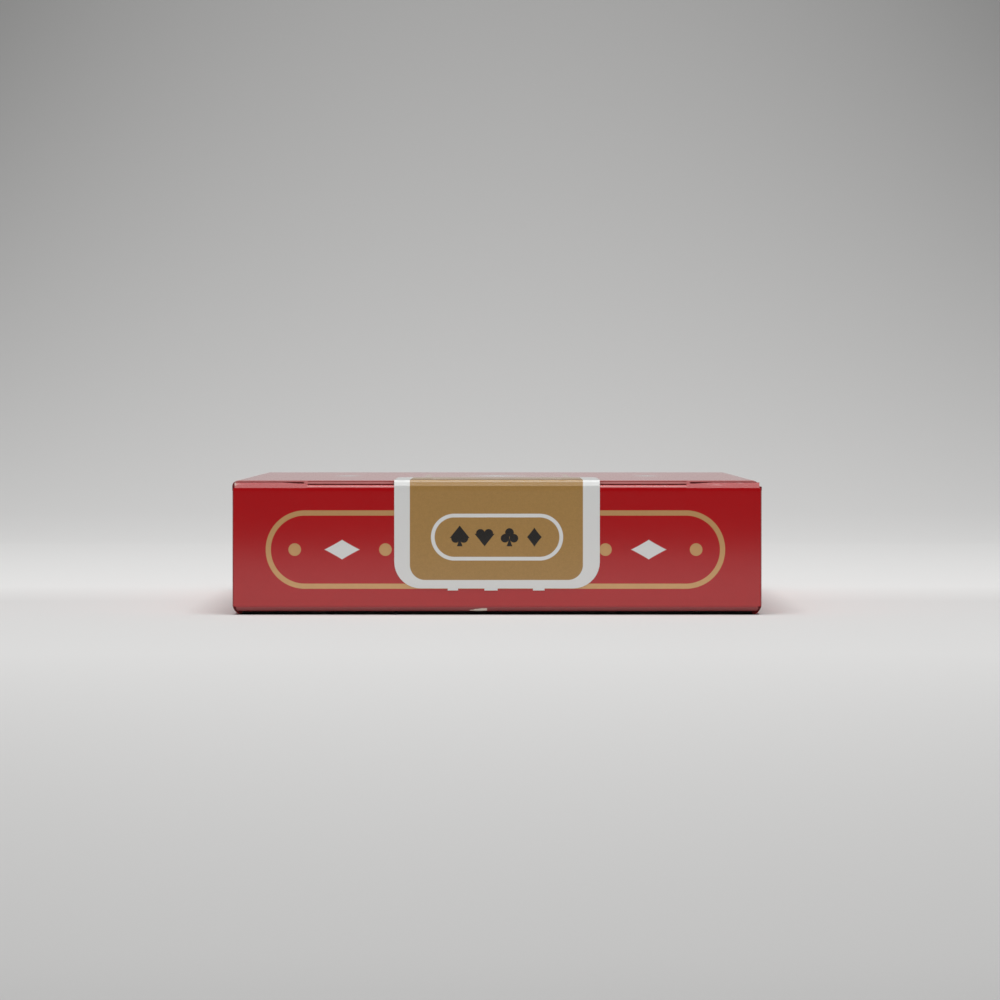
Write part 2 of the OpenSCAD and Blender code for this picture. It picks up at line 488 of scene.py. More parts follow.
@dataclass(frozen=True)
class PrintedBoard:
    """Glossy printed board: red, with gold lines and dots and white lozenges."""

    panel: Panel
    m: Measures
    frame_z: float = 8.13
    frame_x: float = -0.2
    frame_run: float = 23.73
    frame_r: float = 4.56
    frame_line: float = 0.64
    dot_r: float = 0.78
    dots: tuple[float, ...] = (13.7, 25.0)
    lozenge_at: float = 19.1
    lozenge: tuple[float, float] = (2.19, 1.22)
    row_y: float = 4.0
    medal: tuple[float, float] = (15.0, 9.2)
    medal_dots: tuple[float, ...] = (14.4, 25.2)
    medal_lozenge: tuple[float, float] = (4.6, 7.4)
    lozenge_gap: float = 0.9
    lattice_pitch: float = 3.2
    lattice_half: float = 0.16
    lattice_inset: float = 1.2
    wing_at: float = 20.0
    wing: tuple[float, float] = (2.1, 5.4)
    side_run: float = 36.5
    side_dots: tuple[float, ...] = (0.0, 11.3, 22.6, 33.9)
    side_lozenges: tuple[float, ...] = (5.65, 16.95, 28.25)
    face_on: tuple[float, float] = (0.9, 0.97)
    bleed: float = 5.0
    bleed_soft: float = 0.2
    worn: float = 1.1
    worn_soft: float = 0.9
    red: Ink = Ink.RED
    gloss: float = 0.09
    tooth: float = 0.0012

    def dotted(self, gold: Val, u: Val, v: Val, places: Sequence[float]) -> Val:
        """A gold mask with dots added at these places on both sides of the middle."""
        return reduce(Val.most, [Shapes.disc(abs(u) - at, v, self.dot_r).inside() for at in places], gold)

    def cartouche(self, u: Val, v: Val) -> tuple[Val, Val]:
        """The round-ended frame with its dots and lozenges.

        Args:
            u: Distance along the frame from its middle.
            v: Distance up from its middle.

        Returns:
            The gold mask and the white mask.
        """
        gold = Shapes.stadium(u, v, self.frame_run, self.frame_r).line(self.frame_line)
        gold = self.dotted(gold, u, v, self.dots)
        white = Shapes.lozenge(abs(u) - self.lozenge_at, v, *self.lozenge).inside()
        return gold, white

    def face_print(self, s: NodeSheet) -> tuple[Val, Val]:
        """The front and back panels' print: a latticed medallion between dots and lozenges.

        Args:
            s: The material's nodes.

        Returns:
            The gold mask and the white mask.
        """
        u, v = s.x, s.y - self.row_y
        medal = Shapes.stadium(v, u, *self.medal)
        lattice = Shapes.lattice(u, v, self.lattice_pitch, self.lattice_half)
        gold = medal.line(self.frame_line).most(lattice.inside() * (medal + self.lattice_inset).inside())
        gold = self.dotted(gold, u, v, self.medal_dots)
        wings = Shapes.lozenge(abs(u) - self.wing_at, v, *self.wing).inside()
        middle = Shapes.lozenge(u, v, *self.medal_lozenge)
        return gold * (1.0 - (middle - self.lozenge_gap).inside()), wings.most(middle.inside())

    def side_print(self, s: NodeSheet) -> tuple[Val, Val]:
        """The side panels' print: a long frame with a row of dots and lozenges.

        Args:
            s: The material's nodes.

        Returns:
            The gold mask and the white mask.
        """
        u, v = s.y, s.z - self.m.height / 2
        gold = Shapes.stadium(u, v, self.side_run, self.frame_r).line(self.frame_line)
        white = [Shapes.lozenge(abs(u) - at, v, *self.lozenge).inside() for at in self.side_lozenges]
        return self.dotted(gold, u, v, self.side_dots), reduce(Val.most, white)

    def masks(self, s: NodeSheet) -> tuple[Val, Val]:
        """The gold and white masks of every printed face of this piece.

        Args:
            s: The material's nodes.

        Returns:
            The gold mask and the white mask.
        """
        end = self.cartouche(s.x - self.frame_x, s.z - self.frame_z)
        if self.panel is Panel.LID:
            front = (-s.facing[1]).ramp(*self.face_on)
            return end[0] * front, end[1] * front
        if self.panel is Panel.TUCK:
            bare = (s.y - self.m.lid_y - self.bleed).ramp(-self.bleed_soft, self.bleed_soft)
            return bare * 0.0, bare
        if self.panel is Panel.DUST:
            bare = (self.m.half_w - self.bleed - abs(s.x)).ramp(-self.bleed_soft, self.bleed_soft)
            return bare * 0.0, bare
        faces = [(end, 1), (self.face_print(s), 2), (self.side_print(s), 0)]
        golds, whites = [], []
        for (gold, white), axis in faces:
            here = abs(s.facing[axis]).ramp(*self.face_on)
            golds.append(gold * here)
            whites.append(white * here)
        return reduce(Val.__add__, golds), reduce(Val.__add__, whites)

    def wear(self, s: NodeSheet) -> Val:
        """Where the ink is rubbed off the folds and corners.

        Args:
            s: The material's nodes.

        Returns:
            The mask, from 0 to 1.
        """
        patches = s.noise(1.6, 4.0, (2.2, 2.2, 1.0))
        half_h = self.m.height / 2
        corner = (abs(s.x) - (self.m.half_w - self.worn)).ramp(0.0, self.worn_soft)
        rim = (abs(s.z - half_h) - (half_h - self.worn)).ramp(0.0, self.worn_soft)
        ends = (abs(s.y) - (self.m.base_y - self.worn)).ramp(0.0, self.worn_soft)
        return (corner * rim * ends * (patches - 0.4)).ramp(0.04, 0.16)

    def rub_and_highlight(self, s: NodeSheet) -> Val:
        """Where the coating is scuffed pale along the folds, with the folds' highlight painted in.

        Args:
            s: The material's nodes.

        Returns:
            The mask, from 0 to 1.
        """
        flat = reduce(Val.most, [abs(part) for part in s.facing])
        bent = (1.0 - flat).ramp(0.01, 0.12)
        scuffs = s.noise(0.9, 4.0, (2.6, 2.6, 1.0)).ramp(0.35, 0.75)
        if self.panel is Panel.CASE:
            return bent * scuffs * 0.7
        return bent * (scuffs * 0.7 + 0.3) * s.z.ramp(4.0, 8.0)

    def painted_shade(self, s: NodeSheet) -> Val:
        """Where shade is painted on the lid, dark along its lower crease and its die-cut sides."""
        crease = (self.m.crease_z + 0.3 - s.z).ramp(0.0, 0.6) * 0.85
        return crease.most((abs(s.x) - self.m.lid_edge + 0.13).ramp(-0.04, 0.06) * 0.8)

    def painted_shadow(self, s: NodeSheet) -> Val:
        """Where shadow is painted dark on the case behind the lid's lower crease."""
        under = (self.m.lid_y + 1.9 - s.y).ramp(0.0, 0.3) * (0.95 - s.z).ramp(0.0, 0.3)
        return under * (self.m.half_w - 0.9 - abs(s.x)).ramp(-0.3, 0.3)

    def scuffs(self, s: NodeSheet) -> Val:
        """Where the bent shoulders are scuffed through to the board."""
        streaks = s.noise(0.7, 3.0, (3.5, 1.0, 1.0)).ramp(0.5, 0.72)
        return streaks * s.z.ramp(16.05, 16.2) * (-s.facing[1]).ramp(0.2, 0.4)

    def chip(self, s: NodeSheet) -> Val:
        """The chipped spot on the lid's lower edge, sharp at the left and blunt at the right.

        Args:
            s: The material's nodes.

        Returns:
            The mask, from 0 to 1.
        """
        ragged = (s.noise(0.35, 3.0) - 0.5) * 0.22
        half_h = ((s.x + 3.55) * 0.13).least(0.15)
        body = (abs(s.z - 0.62 - (s.x + 2.3) * 0.05) - half_h).most(s.x + 1.25)
        return (body + ragged).inside(0.03)

    def material(self) -> bpy.types.Material:
        """Mix the inks.

        Returns:
            The material.
        """
        s = NodeSheet(f"board_print_{self.panel.value}", stamped=True)
        gold, white = self.masks(s)
        cloud = s.noise(14.0, 2.0)
        mottle = s.noise(0.5, 2.0)
        red = s.mix(cloud * 0.35 + mottle * 0.25, self.red.value, darker(self.red.value, 0.8))
        gilt = s.mix(mottle * 0.4, Ink.GOLD.value, darker(Ink.GOLD.value, 0.8))
        colour = s.mix(white, s.mix(gold, red, gilt), Ink.WHITE.value)
        # Scuffed coating and painted highlight: the folds are mixed towards salmon.
        rub_and_highlight = self.rub_and_highlight(s)
        colour = s.mix(rub_and_highlight, colour, Ink.SALMON.value)
        rubbed = self.wear(s)
        dull = rubbed * 0.4 + rub_and_highlight * 0.32
        if self.panel is Panel.LID:
            # Painted shade: the lid is darkened towards wine along its lower crease and its die-cut sides.
            painted_shade = self.painted_shade(s)
            dull = dull + painted_shade * 0.3
            colour = s.mix(painted_shade, colour, Ink.WINE.value)
            colour = s.mix(self.scuffs(s) * 0.6, colour, Ink.PINK.value)
            rubbed = rubbed.most(self.chip(s))
        else:
            # Painted shadow: the case is darkened towards black behind the lid's lower crease.
            colour = s.mix(self.painted_shadow(s), colour, Ink.BLACK.value)
        colour = s.mix(rubbed, colour, Ink.BOARD.value)
        grain = s.noise(0.28, 3.0) * 0.5 + s.noise(1.8, 2.0) * 0.5
        return s.dress(
            Base_Color=colour,
            Metallic=gold * (1.0 - rubbed) * 0.2,
            Roughness=dull + mottle * 0.03 + self.gloss,
            IOR=1.75,
            Normal=s.bump(grain - rubbed * 2.0, self.tooth))


@dataclass(frozen=True)
class RawBoard:
    """Unprinted board: a plain inside, or a cut edge with ink and painted shade along the mouth."""

    name: str
    pale: Colour
    dark: Colour
    mouth: Optional[Measures] = None

    def material(self) -> bpy.types.Material:
        """Mix the board's fibres.

        Returns:
            The material.
        """
        s = NodeSheet(self.name, stamped=True)
        fibres = s.noise(0.5, 4.0, (3.0, 1.0, 1.0)) * 0.6 + s.noise(0.09, 2.0) * 0.4
        clouds = s.noise(6.0, 2.0)
        colour = s.mix(fibres * 0.7 + clouds * 0.3, self.pale, self.dark)
        if self.mouth:
            # Ink along the top of the mouth's edge, and painted shade along its lower part beside the
            # shoulders.
            colour = s.mix(self.ink_and_shade(s, self.mouth), colour, Ink.WINE.value)
        return s.dress(Base_Color=colour, Roughness=fibres * 0.2 + 0.6, Normal=s.bump(fibres, 0.02))

    @staticmethod
    def ink_and_shade(s: NodeSheet, m: Measures) -> Val:
        """Ink along the top of the mouth's cut edge over the tuck fold, and painted shade along its lower
        part at the shoulders.

        Args:
            s: The material's nodes.
            m: The deck's measures.

        Returns:
            The mask, from 0 to 1.
        """
        top = (s.z - m.height + 0.12).ramp(-0.03, 0.03) * (m.lock_x - abs(s.x)).ramp(-0.1, 0.1)
        low = (m.height - 0.14 - s.z).ramp(-0.02, 0.02) * (abs(s.x) - m.lock_x - 0.45).ramp(-0.1, 0.1)
        return top.most(low) * (m.lid_y + 2.0 - s.y).ramp(-0.2, 0.2)


@dataclass(frozen=True)
class SealPaper:
    """Printed paper of the seal: a brown field in a white border, with lined rings and suit pips."""

    m: Measures
    side_border: float = 2.02
    end_border: float = 1.05
    field_x: float = -0.08
    field_r: float = 1.9
    rows: tuple[float, float] = (9.7, 27.0)
    ring: tuple[float, float] = (5.3, 2.7)
    ring_line: float = 0.46
    pip_pitch: float = 3.1
    pip_size: float = 2.3

    def material(self) -> bpy.types.Material:
        """Print the seal along its own run, over the case's edge.

        Returns:
            The material.
        """
        s = NodeSheet("seal_print")
        run = s.z + s.y - (self.m.lid_y - self.m.seal_t)
        low = self.m.seal_low
        high = self.m.height + self.m.seal_far_y - self.m.lid_y + 2 * self.m.seal_t
        middle = (low + high) / 2
        field = Shapes.panel(s.x - self.field_x, run - middle, self.m.seal_half_w - self.side_border,
                             (high - low) / 2 - self.end_border, self.field_r).inside()
        front, top = self.rows
        rings = [Shapes.stadium(s.x, run - row, *self.ring).line(self.ring_line) for row in self.rows]
        pips = self.pips(s.x, run - front).most(self.pips(s.x, top - run))
        speckle = s.noise(0.16, 2.0)
        fleck = (s.noise(0.45, 3.0) - 0.5) * 0.5
        brown = s.mix(speckle * 0.8 + fleck, Ink.BROWN.value, darker(Ink.BROWN.value, 0.72))
        colour = s.mix(field, Ink.WHITE.value, brown)
        colour = s.mix(reduce(Val.most, rings) * field, colour, Ink.WHITE.value)
        colour = s.mix(pips, colour, Ink.BLACK.value)
        return s.dress(Base_Color=colour, Roughness=speckle * 0.1 + 0.12, IOR=1.65,
                       Normal=s.bump(speckle * 0.5 + s.noise(2.5, 2.0) * 0.5, 0.0015))

    def pips(self, u: Val, v: Val) -> Val:
        """A row of the four suits' pips."""
        middle = (len(Suit) - 1) / 2
        return reduce(Val.most, [
            Shapes.pip(suit, u - (suit.value - middle) * self.pip_pitch, v, self.pip_size).inside(0.03)
            for suit in Suit])


@dataclass(frozen=True)
class CardStock:
    """Coated card stock with a lattice print inside a white border on its broad faces."""

    name: str
    ink: Colour
    half_w: float = 31.75
    half_l: float = 44.45
    middle: tuple[float, float] = (-0.2, 0.5)
    margin: float = 4.0
    corner_r: float = 2.0
    border_line: float = 0.5
    lattice_pitch: float = 2.4
    lattice_half: float = 0.3
    lattice_inset: float = 1.0

    def material(self) -> bpy.types.Material:
        """Print the card.

        Returns:
            The material.
        """
        s = NodeSheet(self.name)
        flat = abs(s.facing[2]).ramp(0.6, 0.9)
        border = Shapes.panel(s.x - self.middle[0], s.y - self.middle[1],
                              self.half_w - self.margin, self.half_l - self.margin, self.corner_r)
        lattice = Shapes.lattice(s.x, s.y, self.lattice_pitch, self.lattice_half).inside()
        printed = border.line(self.border_line).most(lattice * (border + self.lattice_inset).inside()) * flat
        fibres = s.noise(0.2, 3.0, (4.0, 4.0, 1.0))
        edge = s.mix(fibres, darker(Ink.STOCK.value, 0.93), darker(Ink.STOCK.value, 0.7))
        colour = s.mix(flat, edge, s.mix(printed, Ink.STOCK.value, self.ink))
        dimples = s.add("ShaderNodeTexVoronoi", inputs={"Vector": s.place, "Scale": 1 / (0.5 * MM)})
        return s.dress(Base_Color=colour, Roughness=0.65 - flat * 0.33,
                       Normal=s.bump(Val(s, dimples.outputs["Distance"]), 0.006))


# Modelling


class Part(Enum):
    """What an operator acts on."""

    CORNER = "VERT"
    EDGE = "EDGE"
    FACE = "FACE"


class Facing(Enum):
    """How a new sheet is turned: the rotation that takes +Z to the way it faces."""

    UP = (0.0, 0.0, 0.0)
    DOWN = (math.pi, 0.0, 0.0)
    FRONT = (math.pi / 2, 0.0, 0.0)


class Bench:
    """Shapes one mesh with edit-mode operators. Lengths and places are in millimetres."""

    def __init__(self, name: str, centre: Triple, size: tuple[float, float], facing: Facing,
                 cells: Optional[tuple[int, int]] = None) -> None:
        """Add a flat sheet at its size and place, and start to edit it.

        Args:
            name: The piece's name.
            centre: The sheet's middle.
            size: Its width and its length.
            facing: Which way its outer face looks.
            cells: How many cells it has each way, if more than one.
        """
        if bpy.context.mode != "OBJECT":
            bpy.ops.object.mode_set(mode="OBJECT")
        bpy.ops.object.select_all(action="DESELECT")
        place = {"size": 1.0, "location": metres(centre), "rotation": facing.value}
        if cells:
            bpy.ops.mesh.primitive_grid_add(x_subdivisions=cells[0], y_subdivisions=cells[1], **place)
        else:
            bpy.ops.mesh.primitive_plane_add(**place)
        self.obj = bpy.context.object
        self.obj.name = self.obj.data.name = name
        self.obj.scale = (size[0] * MM, size[1] * MM, 1.0)
        bpy.ops.object.transform_apply(location=True, rotation=True, scale=True)
        bpy.ops.object.mode_set(mode="EDIT")

    def pick(self, part: Part, test: Test) -> "Bench":
        """Select the corners, edges or faces whose corners all pass a test of their place.

        Args:
            part: What is selected.
            test: The test, on a place in millimetres.

        Returns:
            The bench.
        """
        bpy.ops.mesh.select_mode(type=part.value)
        bpy.ops.mesh.select_all(action="DESELECT")
        mesh = bmesh.from_edit_mesh(self.obj.data)
        groups = {Part.CORNER: mesh.verts, Part.EDGE: mesh.edges, Part.FACE: mesh.faces}
        for item in groups[part]:
            corners = [item] if part is Part.CORNER else item.verts
            if all(test(corner.co / MM) for corner in corners):
                item.select_set(True)
        bmesh.update_edit_mesh(self.obj.data)
        return self

    def extrude(self, *offset: float) -> "Bench":
        """Extrude the picked edges by an offset."""
        bpy.ops.mesh.extrude_edges_move(TRANSFORM_OT_translate={"value": metres(offset)})
        return self

    def spin(self, centre: Triple, axis: Triple, degrees: float, steps: int) -> "Bench":
        """Sweep the picked edges round an axis, by the right-hand rule."""
        bpy.ops.mesh.spin(steps=steps, angle=math.radians(-degrees), center=metres(centre), axis=axis)
        return self

    def move(self, *offset: float) -> "Bench":
        """Move what is picked."""
        bpy.ops.transform.translate(value=metres(offset))
        return self

    def squeeze(self, centre: Triple, factors: Triple) -> "Bench":
        """Scale what is picked about a point."""
        bpy.ops.transform.resize(value=factors, center_override=metres(centre))
        return self

    def swell(self, reach: float, *offset: float) -> "Bench":
        """Move what is picked, and less of the sheet round it, as far as a reach."""
        bpy.ops.transform.translate(
            value=metres(offset), use_proportional_edit=True, proportional_edit_falloff="SMOOTH",
            proportional_size=reach * MM, use_proportional_connected=False)
        return self

    def cut(self, axis: Triple, *places: float) -> "Bench":
        """Cut the sheet across an axis at each place, and keep both sides."""
        for place in places:
            bpy.ops.mesh.select_all(action="SELECT")
            bpy.ops.mesh.bisect(plane_co=metres([a * place for a in axis]), plane_no=axis, threshold=CUT_SNAP)
        return self

    def bevel(self, width: float, steps: int, part: Part = Part.EDGE) -> "Bench":
        """Round the picked edges or corners."""
        affect = "EDGES" if part is Part.EDGE else "VERTICES"
        bpy.ops.mesh.bevel(offset=width * MM, segments=steps, profile=0.5, affect=affect, clamp_overlap=False)
        return self

    def drop(self, test: Test) -> "Bench":
        """Delete the faces whose corners all pass a test."""
        self.pick(Part.FACE, test)
        bpy.ops.mesh.delete(type="FACE")
        return self

    def fold(self, thickness: float, finishes: Sequence[bpy.types.Material], smooth: float = 35.0
             ) -> bpy.types.Object:
        """Leave edit mode and thicken the sheet inwards.

        Args:
            thickness: The board's thickness.
            finishes: The outer, inner and cut-edge materials.
            smooth: Edges below this angle are shaded smooth.

        Returns:
            The piece.
        """
        bpy.ops.mesh.select_all(action="SELECT")
        bpy.ops.mesh.remove_doubles(threshold=MERGE)
        bpy.ops.mesh.normals_make_consistent(inside=False)
        bpy.ops.object.mode_set(mode="OBJECT")
        for finish in finishes:
            self.obj.data.materials.append(finish)
        wall = self.obj.modifiers.new("board", "SOLIDIFY")
        wall.thickness = thickness * MM
        wall.offset = -1.0
        wall.use_even_offset = True
        wall.material_offset = 1
        wall.material_offset_rim = 2
        bpy.ops.object.modifier_apply(modifier=wall.name)
        bpy.ops.object.shade_smooth_by_angle(angle=math.radians(smooth))
        self.stamp(self.obj)
        return self.obj

    @staticmethod
    def stamp(obj: bpy.types.Object) -> None:
        """Store the piece's places and normals at rest in its mesh."""
        mesh = obj.data
        for layer in Stamp:
            if layer.value in mesh.attributes:
                mesh.attributes.remove(mesh.attributes[layer.value])
        facings = [part for normal in mesh.corner_normals for part in normal.vector]
        places = [part for corner in mesh.vertices for part in corner.co]
        for layer, domain, parts in ((Stamp.PLACE, "POINT", places), (Stamp.FACING, "CORNER", facings)):
            mesh.attributes.new(layer.value, "FLOAT_VECTOR", domain).data.foreach_set("vector", parts)

    @staticmethod
    def bite(obj: bpy.types.Object, centre: Triple, radius: float, depth: float) -> None:
        """Cut a round notch through a finished piece.

        Args:
            obj: The piece.
            centre: The middle of the cutter.
            radius: The notch's radius.
            depth: The cutter's height.
        """
        bpy.ops.object.select_all(action="DESELECT")
        bpy.ops.mesh.primitive_cylinder_add(
            vertices=NOTCH_SIDES, radius=radius * MM, depth=depth * MM, location=metres(centre))
        cutter = bpy.context.object
        for finish in obj.data.materials:
            cutter.data.materials.append(finish)
        cutter.data.polygons.foreach_set("material_index", [2] * len(cutter.data.polygons))
        bpy.context.view_layer.objects.active = obj
        notch = obj.modifiers.new("notch", "BOOLEAN")
        notch.operation = "DIFFERENCE"
        notch.solver = "EXACT"
        notch.object = cutter
        bpy.ops.object.modifier_apply(modifier=notch.name)
        bpy.data.objects.remove(cutter)
        Bench.stamp(obj)


# Pieces


@dataclass
class Finishes:
    """The materials that the pieces share."""

    m: Measures

    def __post_init__(self) -> None:
        """Mix every material once."""
        # The case takes the red painted lighter, as painted light.
        self.case = PrintedBoard(Panel.CASE, self.m, red=Ink.BRIGHT_RED, tooth=0.0003).material()
        self.lid = PrintedBoard(Panel.LID, self.m).material()
        self.tuck = PrintedBoard(Panel.TUCK, self.m).material()
        self.dust = PrintedBoard(Panel.DUST, self.m).material()
        self.inside = RawBoard("board_inside", (0.80, 0.77, 0.70), (0.62, 0.58, 0.50)).material()
        self.edge = RawBoard("board_edge", Ink.PINK.value, (0.74, 0.30, 0.29)).material()
        self.mouth = RawBoard("board_edge_mouth", Ink.PINK.value, (0.74, 0.30, 0.29), self.m).material()
        self.seal = SealPaper(self.m).material()
        self.gum = RawBoard("seal_back", (0.80, 0.79, 0.74), (0.70, 0.68, 0.62)).material()
        self.stock = [
            CardStock("card_stock_dark", (0.03, 0.05, 0.16)).material(),
            CardStock("card_stock_red", (0.45, 0.02, 0.03)).material()]

    def board(self, printed: bpy.types.Material) -> list[bpy.types.Material]:
        """A piece of board's outer, inner and cut-edge materials."""
        return [printed, self.inside, self.mouth if printed in (self.case, self.lid) else self.edge]

    @property
    def paper(self) -> list[bpy.types.Material]:
        """The seal's outer, inner and cut-edge materials."""
        return [self.seal, self.gum, self.gum]


def report(obj: bpy.types.Object) -> None:
    """Log a finished piece."""
    LOG.info("%s: %d faces", obj.name, len(obj.data.polygons))


@dataclass
class CaseShell:
    """The case: a tube of four panels with a glued seam, a glued bottom and an open mouth."""

    m: Measures
    finishes: Finishes
    glue_h: float = 11.0
    base_flap: float = 11.0
    dust_len: float = 12.0
    seam_drop: float = 0.75
    thumb_r: float = 8.0
    bends: int = 5
    low_r: float = 1.2
    glue_set: float = 1.4
    inner_inset: float = 0.12
    outer_inset: float = 0.1
    droop: tuple[tuple[float, float], ...] = ((0.0, 0.06), (0.6, 0.025), (1.3, 0.006))
    rocker: tuple[tuple[float, float], ...] = ((0.0, 1.0), (0.25, 0.92), (0.5, 0.5), (0.75, 0.0))

    def build(self) -> bpy.types.Object:
        """Fold the sheet: back panel, sides, front panel and glue flap, then the bottom flaps.

        Returns:
            The case.
        """
        m, r = self.m, self.m.fold_r
        start, end = m.lid_face + m.crease_r, m.base_y - 2 * m.board - r
        glue_x = m.half_w - m.board
        bench = Bench("case_shell", (0, (start + end) / 2, 0), (2 * m.half_w, end - start), Facing.DOWN)
        bench.pick(Part.EDGE, lambda p: near(p.x, m.half_w)).extrude(0, 0, m.height - self.seam_drop)
        bench.pick(Part.EDGE, lambda p: near(p.x, -m.half_w)).extrude(0, 0, m.height)
        bench.extrude(m.half_w + glue_x, 0, 0)
        bench.extrude(0, 0, -r - self.glue_h)
        bench.pick(Part.EDGE, lambda p: near(p.z, m.height) and (near(p.x, -m.half_w) or near(p.x, glue_x)))
        self.drop_ends()
        bench.bevel(r, self.bends)
        bench.pick(Part.EDGE, lambda p: near(abs(p.x), m.half_w) and near(p.z, 0))
        self.drop_ends()
        bench.bevel(self.low_r, self.bends + 2)
        self.fold_bottom(bench, end)
        self.trim_mouth(bench, start)
        case = bench.fold(m.sheet, self.finishes.board(self.finishes.case))
        Bench.bite(case, (0, m.mouth_y, m.height), self.thumb_r, 4 * m.board)
        return case

    @staticmethod
    def drop_ends() -> None:
        """Deselect the picked edges that run across the case."""
        mesh = bmesh.from_edit_mesh(bpy.context.object.data)
        for edge in mesh.edges:
            if edge.select and abs(edge.verts[0].co.y - edge.verts[1].co.y) < MM:
                edge.select_set(False)
        bmesh.update_edit_mesh(bpy.context.object.data)

    def fold_bottom(self, bench: Bench, end: float) -> None:
        """Fold the bottom's dust flaps, then the front panel's flap, then the back panel's.

        Args:
            bench: The case's bench.
            end: Where the tube of long panels ends.
        """
        m, r = self.m, self.m.fold_r
        flat = m.half_w - r + NEAR
        for side in (-1, 1):
            bench.pick(Part.EDGE, lambda p: near(p.y, end) and near(p.x, side * m.half_w)
                       and self.low_r - NEAR < p.z < m.height - self.seam_drop + NEAR)
            bench.spin((side * (m.half_w - r), end, 0), (0, 0, 1), side * 90, self.bends)
            bench.extrude(-side * self.dust_len, 0, 0)
        bench.pick(Part.EDGE, lambda p: near(p.y, end) and near(p.z, m.height) and abs(p.x) < flat)
        bench.extrude(0, m.board, 0)
        bench.spin((0, end + m.board, m.height - r), (1, 0, 0), -90, self.bends)
        bench.extrude(0, 0, -self.base_flap)
        for side in (-1, 1):
            bench.pick(Part.CORNER, lambda p: near(p.y, end + m.board + r)
                       and near(p.x, side * (m.half_w - r)))
            bench.move(side * (r - self.inner_inset), 0, 0)
        bench.pick(Part.EDGE, lambda p: near(p.y, end) and near(p.z, 0) and abs(p.x) < flat)
        bench.extrude(0, 2 * m.board, 0)
        bench.spin((0, end + 2 * m.board, r), (1, 0, 0), 90, self.bends)
        widen = self.low_r - r
        bench.extrude(0, 0, widen).extrude(0, 0, m.height - 2 * r - widen)
        for side in (-1, 1):
            bench.pick(Part.CORNER, lambda p: near(p.y, m.base_y) and p.z > r + widen - NEAR
                       and near(p.x, side * (m.half_w - self.low_r)))
            bench.move(side * (self.low_r - self.outer_inset), 0, 0)

    def trim_mouth(self, bench: Bench, start: float) -> None:
        """Run the front panel forward, cut the sides back to the dust flaps and bend the panels' ends.

        Args:
            bench: The case's bench.
            start: Where the tube of long panels starts.
        """
        m = self.m
        glue_start = m.lid_y + self.glue_set
        back = m.dust_face + DustFlap.fold_r
        bench.cut((0, 1, 0), *[start + set_in for set_in, _ in self.rocker[1:]])
        for set_in, share in self.rocker:
            bench.pick(Part.CORNER, lambda p: near(p.y, start + set_in) and p.z < self.low_r + NEAR)
            bench.squeeze((0, start + set_in, self.low_r), (1, 1, 1 - share * m.lift / self.low_r))
        bench.pick(Part.EDGE, lambda p: near(p.y, start) and p.z > m.height - m.fold_r - NEAR)
        bench.extrude(0, m.mouth_y - start, 0)
        bench.cut((0, 1, 0), back, glue_start)
        dust_top = m.dust_top + m.dust_rise
        bench.cut((0, 0, 1), dust_top)
        bench.drop(lambda p: near(abs(p.x), m.half_w) and p.y < back + NEAR
                   and self.low_r - NEAR < p.z < dust_top + NEAR)
        for side in (-1, 1):
            bench.drop(lambda p: side * p.x > m.half_w - self.low_r - NEAR and p.y < back + NEAR
                       and p.z < self.low_r + NEAR)
        bench.drop(lambda p: near(p.x, m.half_w - m.board) and p.y < glue_start + NEAR
                   and p.z < m.height - m.fold_r + NEAR)
        bench.cut((0, 1, 0), *[m.mouth_y + set_in for set_in, _ in self.droop[1:]])
        for set_in, fall in self.droop:
            bench.pick(Part.CORNER, lambda p: near(p.y, m.mouth_y + set_in) and near(p.z, m.height))
            bench.move(0, 0, -fall)

    def dress(self) -> None:
        """Build the case and set it on its body."""
        case = self.build()
        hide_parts("case")
        report(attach(case, "case"))


